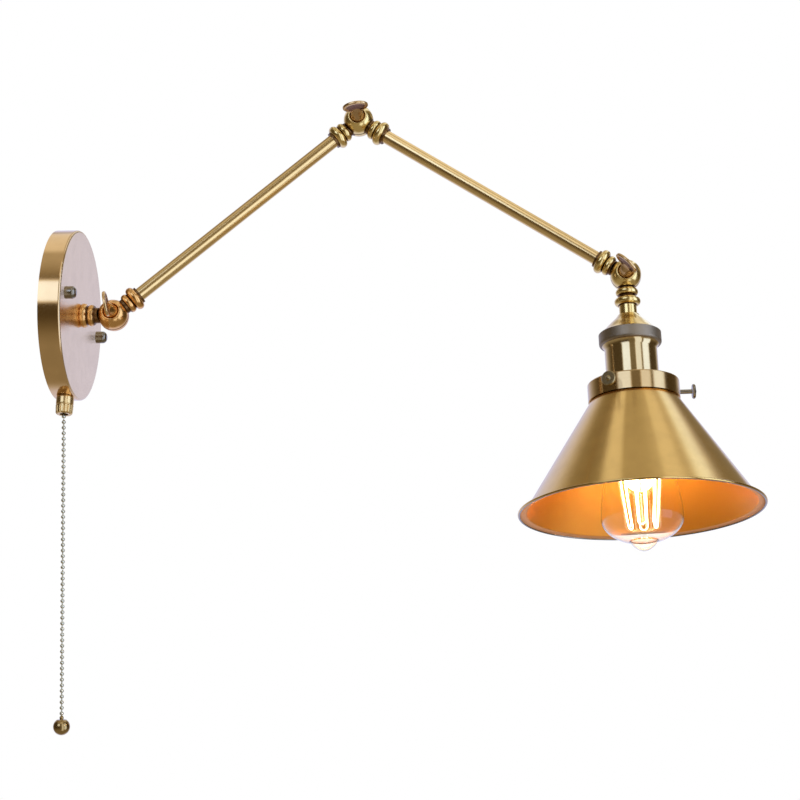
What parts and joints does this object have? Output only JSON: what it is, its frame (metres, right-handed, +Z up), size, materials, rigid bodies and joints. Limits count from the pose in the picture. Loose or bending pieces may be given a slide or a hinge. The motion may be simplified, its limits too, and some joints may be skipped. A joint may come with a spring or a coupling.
{
  "type": "swing-arm wall light",
  "caption": "Wall light with a round canopy, a folding arm on ball knuckles with wing screws, a conical downlight shade round a clear bulb, and a beaded pull chain.",
  "frame": {"origin": "centre of the canopy's back face, on the wall", "axes": "+X out of the wall, +Z up, and the wing screws face about -Y"},
  "size_m": [0.5093, 0.1839, 0.4637],
  "materials": {
    "canopy_brass": "polished",
    "bar_steel": "zinc plated",
    "dark_bronze": "darkened, satin",
    "ground_green": "painted",
    "switch_plastic": "moulded",
    "switch_brass": "polished",
    "stem_brass": "polished",
    "steel_thread": "zinc plated",
    "friction_nylon": "moulded",
    "arm_1_brass": "polished",
    "arm_2_brass": "polished",
    "tube_brass": "polished",
    "wing_brass": "polished",
    "head_brass": "polished",
    "cap_brass": "polished",
    "cup_brass": "polished",
    "porcelain": "glazed",
    "contact_brass": "plain",
    "gallery_brass": "polished",
    "thumb_brass": "aged",
    "shade_brass": "satin",
    "clear_glass": "clear",
    "bulb_cap_brass": "plain",
    "bulb_insulator": "glazed",
    "mount_glass": "clear",
    "filament_glow": "glowing wire",
    "chain_brass": "aged",
    "ball_brass": "polished"
  },
  "bodies": {
    "wall": {"canopy": "canopy_brass", "crossbar": "bar_steel", "crossbar_studs": "bar_steel", "stud_nuts": "bar_steel", "cap_nuts": "dark_bronze", "ground_screw": "ground_green", "pull_switch": "switch_plastic", "switch_nut": "switch_brass"},
    "stem": {"stem": "stem_brass", "threaded_nipple": "steel_thread", "nipple_washer": "steel_thread", "nipple_nut": "steel_thread", "friction_washer_1": "friction_nylon"},
    "arm_1": {"arm_1_inner_end": "arm_1_brass", "arm_1_tube": "tube_brass", "arm_1_outer_end": "arm_1_brass", "friction_washer_2": "friction_nylon"},
    "arm_2": {"arm_2_inner_end": "arm_2_brass", "arm_2_tube": "tube_brass", "arm_2_outer_end": "arm_2_brass", "friction_washer_3": "friction_nylon"},
    "head": {"head_knuckle": "head_brass", "socket_cap": "cap_brass", "cap_ring": "cup_brass", "socket_cup": "cup_brass", "socket_insert": "porcelain", "screw_shell": "contact_brass", "centre_contact": "contact_brass", "retaining_ring": "cup_brass", "gallery_ring": "gallery_brass", "shade": "shade_brass"},
    "wing_1": {"wing_screw_1": "wing_brass"},
    "wing_2": {"wing_screw_2": "wing_brass"},
    "wing_3": {"wing_screw_3": "wing_brass"},
    "thumb_1": {"thumb_screw_1": "thumb_brass"},
    "thumb_2": {"thumb_screw_2": "thumb_brass"},
    "thumb_3": {"thumb_screw_3": "thumb_brass"},
    "bulb": {"bulb_glass": "clear_glass", "bulb_screw_cap": "bulb_cap_brass", "bulb_contact": "bulb_insulator", "filament_mount": "mount_glass", "filament": "filament_glow"},
    "pull": {"pull_hook": "chain_brass"},
    "chain_top": {"chain_upper": "chain_brass"},
    "chain_end": {"chain_lower": "chain_brass", "pull_ball": "ball_brass"}
  },
  "joints": [
    {"name": "stem_swivel", "type": "hinge", "parent": "wall", "child": "stem", "pos_m": [0, 0, 0], "axis": [1, 0, 0], "range_deg": [-165, 165]},
    {"name": "arm_1_hinge", "type": "hinge", "parent": "stem", "child": "arm_1", "pos_m": [0.04, 0, 0], "axis": [0, -0.9659, 0.2588], "range_deg": [-101, 34]},
    {"name": "arm_2_hinge", "type": "hinge", "parent": "arm_1", "child": "arm_2", "pos_m": [0.2166, 0.03973, 0.14829], "axis": [0, -0.9659, 0.2588], "range_deg": [-31.5, 178.5]},
    {"name": "head_hinge", "type": "hinge", "parent": "arm_2", "child": "head", "pos_m": [0.41396, 0.00719, 0.02684], "axis": [0, -0.9659, 0.2588], "range_deg": [-45.5, 154.5]},
    {"name": "wing_1_turn", "type": "hinge", "parent": "stem", "child": "wing_1", "pos_m": [0.04, 0, 0], "axis": [0, -0.9659, 0.2588], "range_deg": [-10, 180]},
    {"name": "wing_2_turn", "type": "hinge", "parent": "arm_1", "child": "wing_2", "pos_m": [0.2166, 0.03973, 0.14829], "axis": [0, -0.9659, 0.2588], "range_deg": [-10, 180]},
    {"name": "wing_3_turn", "type": "hinge", "parent": "arm_2", "child": "wing_3", "pos_m": [0.41396, 0.00719, 0.02684], "axis": [0, -0.9659, 0.2588], "range_deg": [-10, 180]},
    {"name": "thumb_1_turn", "type": "hinge", "parent": "head", "child": "thumb_1", "pos_m": [0.45052, -0.01335, -0.05845], "axis": [0.9962, 0.0809, 0.0324], "range_deg": [0, 720]},
    {"name": "thumb_2_turn", "type": "hinge", "parent": "head", "child": "thumb_2", "pos_m": [0.40463, -0.04391, -0.05275], "axis": [-0.4378, -0.8741, 0.2105], "range_deg": [0, 720]},
    {"name": "thumb_3_turn", "type": "hinge", "parent": "head", "child": "thumb_3", "pos_m": [0.40077, 0.00944, -0.06726], "axis": [-0.5584, 0.7932, -0.2428], "range_deg": [0, 720]},
    {"name": "bulb_turn", "type": "hinge", "parent": "head", "child": "bulb", "pos_m": [0.41814, -0.01349, -0.05033], "axis": [0.0523, -0.2585, -0.9646], "range_deg": [0, 720]},
    {"name": "pull_slide", "type": "slide", "parent": "wall", "child": "pull", "axis": [0, -0.2588, -0.9659], "range_m": [0, 0.008], "stiffness_N_per_m": 250, "springref_m": -0.006},
    {"name": "chain_swing", "type": "hinge", "parent": "pull", "child": "chain_top", "pos_m": [0.0086, -0.02006, -0.07486], "axis": [0, -1, 0], "range_deg": [0, 35]},
    {"name": "chain_end_swing", "type": "hinge", "parent": "chain_top", "child": "chain_end", "pos_m": [0.0086, -0.02006, -0.18367], "axis": [1, 0, 0], "range_deg": [-35, 35]}
  ]
}
